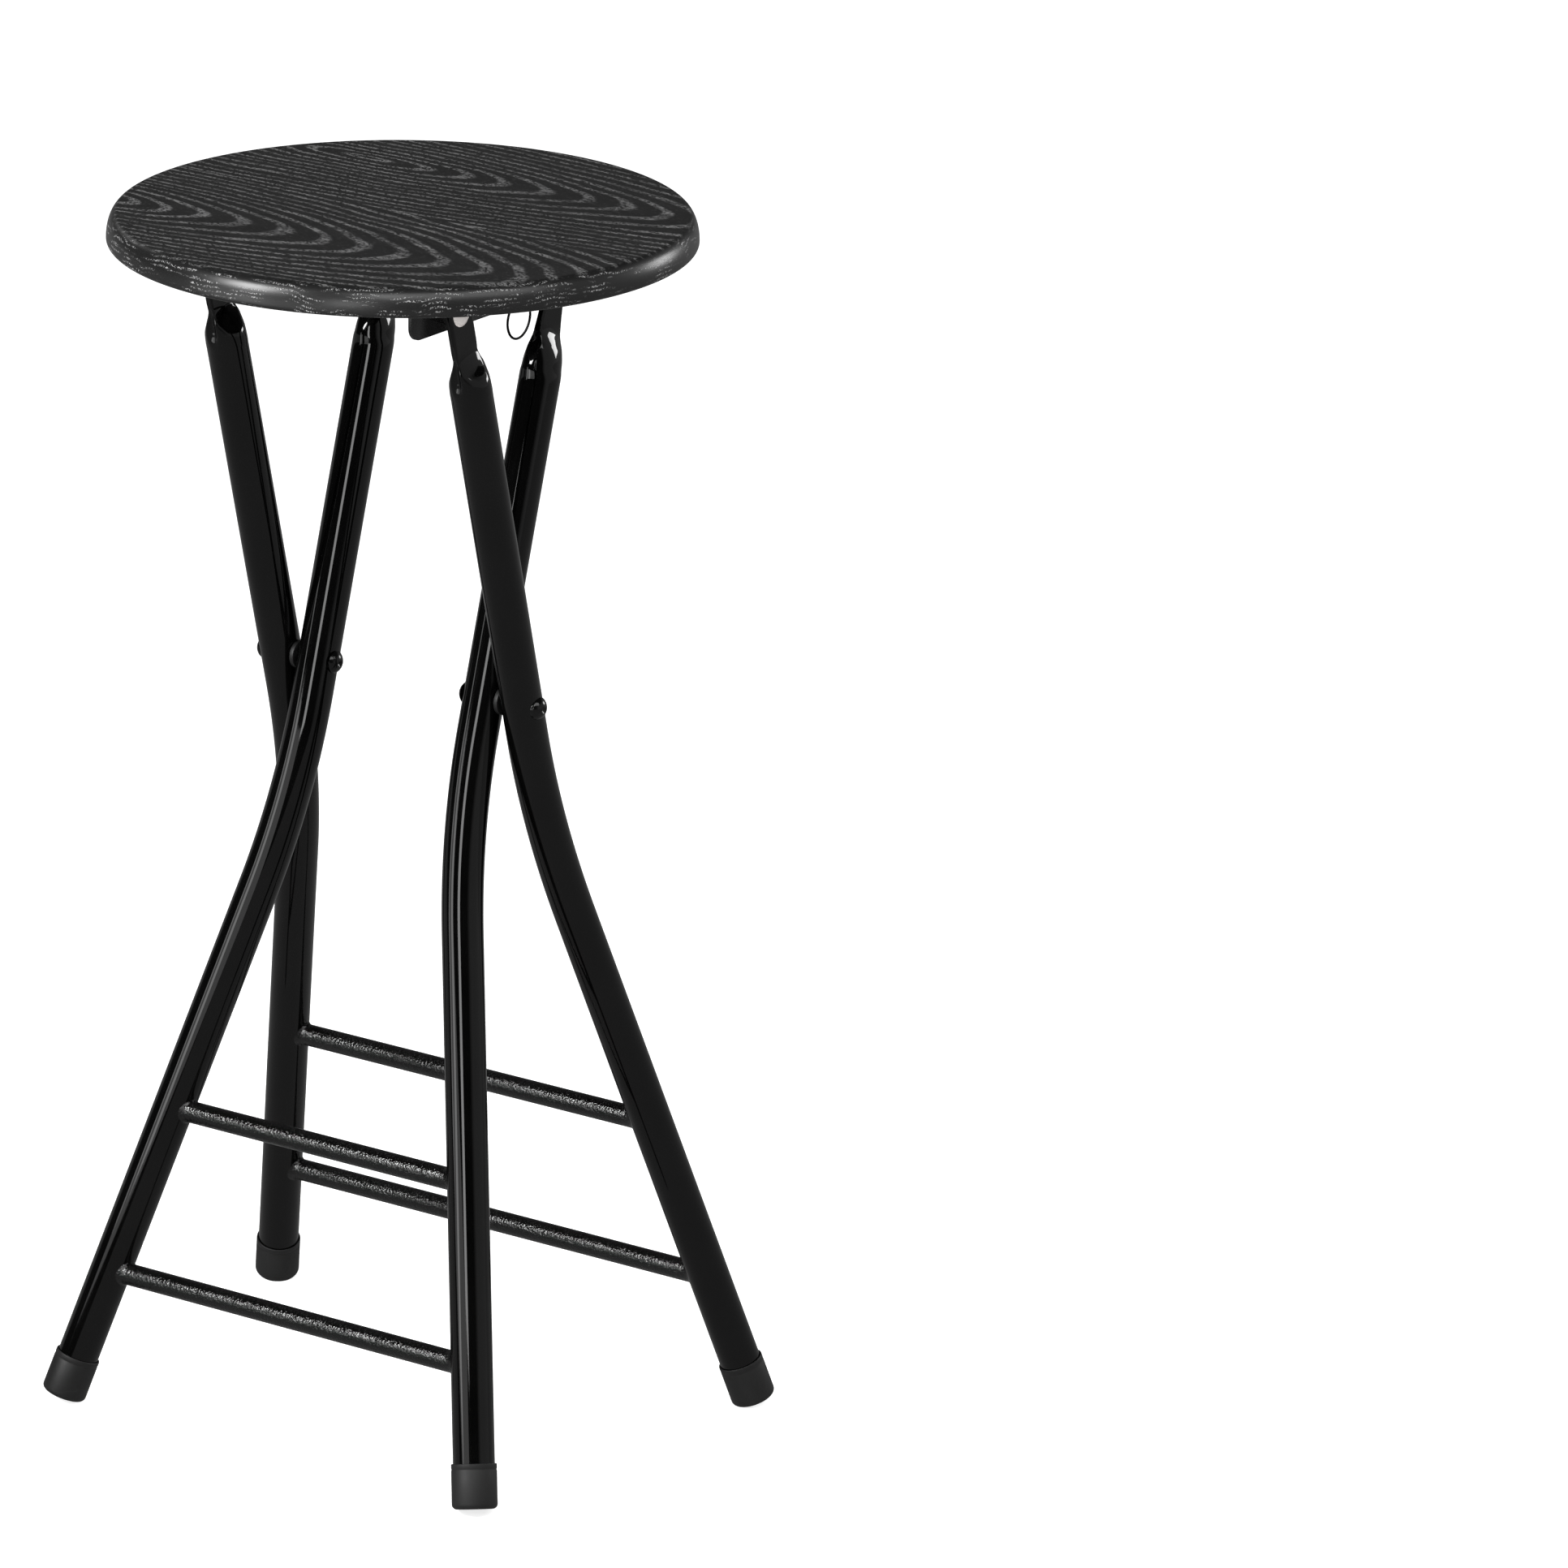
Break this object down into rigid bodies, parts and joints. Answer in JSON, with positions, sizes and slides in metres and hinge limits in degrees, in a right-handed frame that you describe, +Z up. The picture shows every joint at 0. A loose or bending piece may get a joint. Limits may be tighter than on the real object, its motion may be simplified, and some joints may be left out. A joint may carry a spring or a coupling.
{
  "type": "folding bar stool",
  "caption": "Folding bar stool: round board seat that tips up on riveted brackets, crossed splayed tube frames with welded crossbars, and capped feet.",
  "frame": {"origin": "on the floor, under the middle of the seat, with the stool open", "axes": "+X along the crossbars to the right of a person who faces the rear, +Y to the rear, +Z up"},
  "size_m": [0.3204, 0.2864, 0.61],
  "materials": {
    "seat": "dark charcoal wood-grain surface, satin",
    "tube": "gloss black powder coat",
    "bar": "black orange-peel coat",
    "cap": "matt black",
    "bracket": "satin black",
    "seat_rivet": "bright zinc",
    "mid_rivet": "gloss black",
    "spacer": "black nylon",
    "rod": "satin black",
    "screw": "black zinc",
    "ring": "black wire"
  },
  "bodies": {
    "outer_frame": {"outer_left_leg": "tube", "outer_right_leg": "tube", "outer_upper_crossbar": "bar", "outer_lower_crossbar": "bar", "outer_left_foot_cap": "cap", "outer_right_foot_cap": "cap", "left_mid_pivot_rivet": "mid_rivet", "right_mid_pivot_rivet": "mid_rivet", "left_mid_pivot_spacer": "spacer", "right_mid_pivot_spacer": "spacer", "left_seat_pivot_rivet": "seat_rivet", "right_seat_pivot_rivet": "seat_rivet", "left_seat_pivot_spacer": "spacer", "right_seat_pivot_spacer": "spacer"},
    "inner_frame": {"inner_left_leg": "tube", "inner_right_leg": "tube", "inner_upper_crossbar": "bar", "inner_lower_crossbar": "bar", "inner_left_foot_cap": "cap", "inner_right_foot_cap": "cap", "inner_top_rod": "rod"},
    "seat": {"seat_board": "seat", "left_seat_bracket": "bracket", "right_seat_bracket": "bracket", "bracket_screws": "screw"},
    "hanging_ring": {"hanging_ring": "ring"}
  },
  "joints": [
    {"name": "frame_fold", "type": "hinge", "parent": "outer_frame", "child": "inner_frame", "pos_m": [0, 0, 0.3748], "axis": [1, 0, 0], "range_deg": [0, 26.5]},
    {"name": "seat_tip", "type": "hinge", "parent": "outer_frame", "child": "seat", "pos_m": [0, -0.05444, 0.5838], "axis": [1, 0, 0], "range_deg": [0, 102]},
    {"name": "ring_swing", "type": "hinge", "parent": "seat", "child": "hanging_ring", "pos_m": [0.0655, 0.0089, 0.5757], "axis": [1, 0, 0], "range_deg": [-35, 75]}
  ],
  "couplings": [
    {"joint": "seat_tip", "follows": "frame_fold", "ratio": 3.84}
  ]
}
